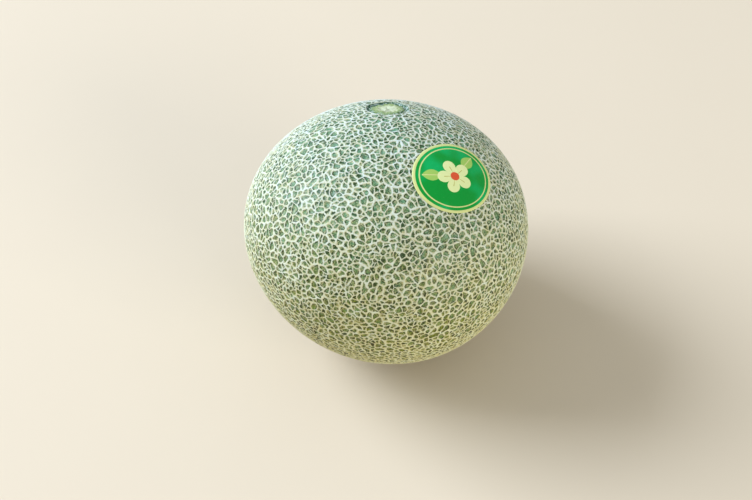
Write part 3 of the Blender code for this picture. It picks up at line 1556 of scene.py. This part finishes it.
@dataclass
class Sticker:
    """The oval paper sticker, bent round the fruit."""

    melon: Melon
    width: float = 0.040
    height: float = 0.036
    thickness: float = 0.00008
    lift: float = 0.00010
    sag: float = 0.30
    feel_height: float = 0.002
    fold_height: float = 0.00016
    fold_pitch: float = 0.0085
    towards: Vector = field(default_factory=lambda: Vector((0.449, -0.247, 0.859)))
    turn: float = math.radians(30)
    rings: int = 26
    spokes: int = 104
    finish: PaperFinish = field(default_factory=PaperFinish)

    def build(self, fruit: bpy.types.Object) -> bpy.types.Object:
        """Lay the sticker on the net.

        Args:
            fruit: The finished fruit.

        Returns:
            The finished sticker.
        """
        mesh = bmesh.new()
        prints = mesh.loops.layers.uv.new(PRINT_MAP)
        spots = self.sheet(mesh)
        self.settle(mesh, BVHTree.FromObject(fruit, bpy.context.evaluated_depsgraph_get()))
        for face in mesh.faces:
            face.smooth = True
            for loop in face.loops:
                x, y = spots[loop.vert]
                loop[prints].uv = (x / self.width + 0.5, y / self.height + 0.5)
        data = bpy.data.meshes.new("sticker")
        mesh.to_mesh(data)
        mesh.free()
        data.materials.append(self.finish.material(self.width, self.height))
        sticker = bpy.data.objects.new("sticker", data)
        bpy.context.scene.collection.objects.link(sticker)
        paper = sticker.modifiers.new("paper", "SOLIDIFY")
        paper.thickness = self.thickness
        paper.offset = 1
        return sticker

    def sheet(self, mesh: bmesh.types.BMesh) -> dict[bmesh.types.BMVert, Span]:
        """Lay the sheet on the fruit's form, as rings round its middle.

        Args:
            mesh: An empty mesh.

        Returns:
            Each vertex's place on the flat sticker.
        """
        ways = self.ways()
        spots = {}
        rows = []
        for ring in range(self.rings + 1):
            share = ring / self.rings
            rows.append([])
            for spoke in range(self.spokes if ring else 1):
                angle = math.tau * spoke / self.spokes
                x = share * math.cos(angle) * self.width / 2
                y = share * math.sin(angle) * self.height / 2
                vertex = mesh.verts.new(self.place(x, y, ways))
                spots[vertex] = (x, y)
                rows[-1].append(vertex)
        for spoke in range(self.spokes):
            after = (spoke + 1) % self.spokes
            mesh.faces.new((rows[0][0], rows[1][spoke], rows[1][after]))
            for inner, outer in zip(rows[1:], rows[2:]):
                mesh.faces.new((inner[spoke], outer[spoke], outer[after], inner[after]))
        mesh.normal_update()
        return spots

    def ways(self) -> tuple[Vector, Vector, Vector]:
        """Find how the sticker lies.

        Returns:
            Its middle, its right and its top as directions in the fruit's own frame.
        """
        form = self.melon.form
        unlean = self.melon.placed.to_3x3().inverted()
        outward = self.towards.normalized()
        right = (Vector((1, 0, 0)) - outward.x * outward).normalized()
        right = Matrix.Rotation(self.turn, 3, outward) @ right
        outward, right = unlean @ outward, unlean @ right
        outward = Vector((outward.x, outward.y, outward.z * form.equator_radius / form.half_height))
        outward.normalize()
        right = (right - right.dot(outward) * outward).normalized()
        return outward, right, outward.cross(right)

    def place(self, x: float, y: float, ways: tuple[Vector, Vector, Vector]) -> Vector:
        """The point of the fruit's form under a point of the flat sticker.

        Args:
            x: How far right of the sticker's middle.
            y: How far above it.
            ways: How the sticker lies.

        Returns:
            The point, in the part's frame.
        """
        outward, right, top = ways
        reach = math.hypot(x, y)
        way = (x * right + y * top) / max(reach, 1e-9)
        bend = reach / self.melon.form.equator_radius
        direction = (math.cos(bend) * outward + math.sin(bend) * way).normalized()
        return self.melon.at(self.melon.form.point(direction))

    def settle(self, mesh: bmesh.types.BMesh, tree: BVHTree) -> None:
        """Let the paper dip a little between the lines of the net.

        Args:
            mesh: The sheet.
            tree: The fruit's surface.
        """
        depths = {}
        for vertex in mesh.verts:
            above = vertex.co + self.feel_height * vertex.normal
            hit, _, _, distance = tree.ray_cast(above, -vertex.normal)
            depths[vertex] = 0.0 if hit is None else max(0.0, distance - self.feel_height)
        eased = {}
        for vertex, depth in depths.items():
            around = [depths[edge.other_vert(vertex)] for edge in vertex.link_edges]
            eased[vertex] = min(depth, (depth + sum(around)) / (1 + len(around)))
        for vertex, depth in eased.items():
            fold = self.fold_height * (1 + noise.noise(vertex.co / self.fold_pitch))
            vertex.co += vertex.normal * (self.lift + fold - self.sag * depth)


@dataclass(frozen=True)
class Lamp:
    """A soft square light."""

    name: str
    place: Place
    size: float
    power: float
    colour: Colour

    def build(self, aim: Vector) -> None:
        """Set up the light.

        Args:
            aim: The point that it faces.
        """
        lamp = bpy.data.lights.new(self.name, "AREA")
        lamp.size = self.size
        lamp.energy = self.power
        lamp.color = self.colour
        thing = bpy.data.objects.new(self.name, lamp)
        thing.location = self.place
        thing.rotation_euler = (aim - Vector(self.place)).to_track_quat("-Z", "Y").to_euler()
        bpy.context.scene.collection.objects.link(thing)


@dataclass
class Studio:
    """Floor, soft light and the camera: a cool window high on the left and a weak warmer fill."""

    floor_reach: float = 12.0
    floor_finish: FloorFinish = FloorFinish()
    window: Lamp = Lamp("window", (-2.45, 0.85, 1.75), 2.0, 176.0, (0.765, 0.86, 1.0))
    fill: Lamp = Lamp("fill", (1.8, -1.8, 0.75), 1.6, 44.0, (1.0, 0.99, 0.92))
    aim_height: float = 0.06
    room_colour: Colour = (0.92, 0.98, 1.0)
    room_strength: float = 0.50
    frame_width: int = 752
    sensor: float = 36.0
    focal_pixels: float = 1600.0
    tilt_down: float = math.radians(49.0)
    distance: float = 0.7582
    aim_right: float = 10.25
    aim_up: float = 17.9

    def floor(self) -> bpy.types.Object:
        """Lay a plain floor under the fruit.

        Returns:
            The floor.
        """
        bpy.ops.mesh.primitive_plane_add(size=2 * self.floor_reach)
        floor = bpy.context.object
        floor.name = "floor"
        floor.data.materials.append(self.floor_finish.material())
        return floor

    def lights(self) -> None:
        """Set up both lights and the bright room."""
        for lamp in (self.window, self.fill):
            lamp.build(Vector((0, 0, self.aim_height)))
        world = bpy.data.worlds.new("room")
        world.use_nodes = True
        background = world.node_tree.nodes["Background"]
        background.inputs["Color"].default_value = (*self.room_colour, 1)
        background.inputs["Strength"].default_value = self.room_strength
        bpy.context.scene.world = world

    def camera(self, centre: Vector) -> None:
        """Set up the camera, from where the photograph looks at the fruit.

        Args:
            centre: The fruit's middle.
        """
        right = Vector((1, 0, 0))
        ahead = Vector((0, math.cos(self.tilt_down), -math.sin(self.tilt_down)))
        up = right.cross(ahead)
        way = Vector((self.aim_right / self.focal_pixels, self.aim_up / self.focal_pixels, 1.0))
        way = way.normalized() * self.distance
        data = bpy.data.cameras.new("camera")
        data.sensor_width = self.sensor
        data.lens = self.focal_pixels / self.frame_width * self.sensor
        camera = bpy.data.objects.new("camera", data)
        camera.location = centre - way.x * right - way.y * up - way.z * ahead
        camera.rotation_euler = (math.pi / 2 - self.tilt_down, 0, 0)
        bpy.context.scene.collection.objects.link(camera)
        bpy.context.scene.camera = camera


def report(piece: bpy.types.Object) -> None:
    """Log how many triangles a piece has before its modifiers."""
    piece.data.calc_loop_triangles()
    LOG.info("%s: %d triangles", piece.name, len(piece.data.loop_triangles))


def main() -> None:
    """Build every piece, hang each on the root body, hide the part it takes the place of, and set the scene.
    """
    logging.basicConfig(level=logging.INFO, format="%(message)s")
    bpy.context.scene.view_settings.view_transform = "Standard"
    melon = Melon()
    studio = Studio()
    studio.camera(melon.placed.translation)
    fruit = melon.build()
    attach(fruit, "root")
    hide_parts(FRUIT_NODE)
    report(fruit)
    sticker = Sticker(melon).build(fruit)
    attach(sticker, "root")
    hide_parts(STICKER_NODE)
    report(sticker)
    report(studio.floor())
    studio.lights()


if __name__ == "__main__":
    main()
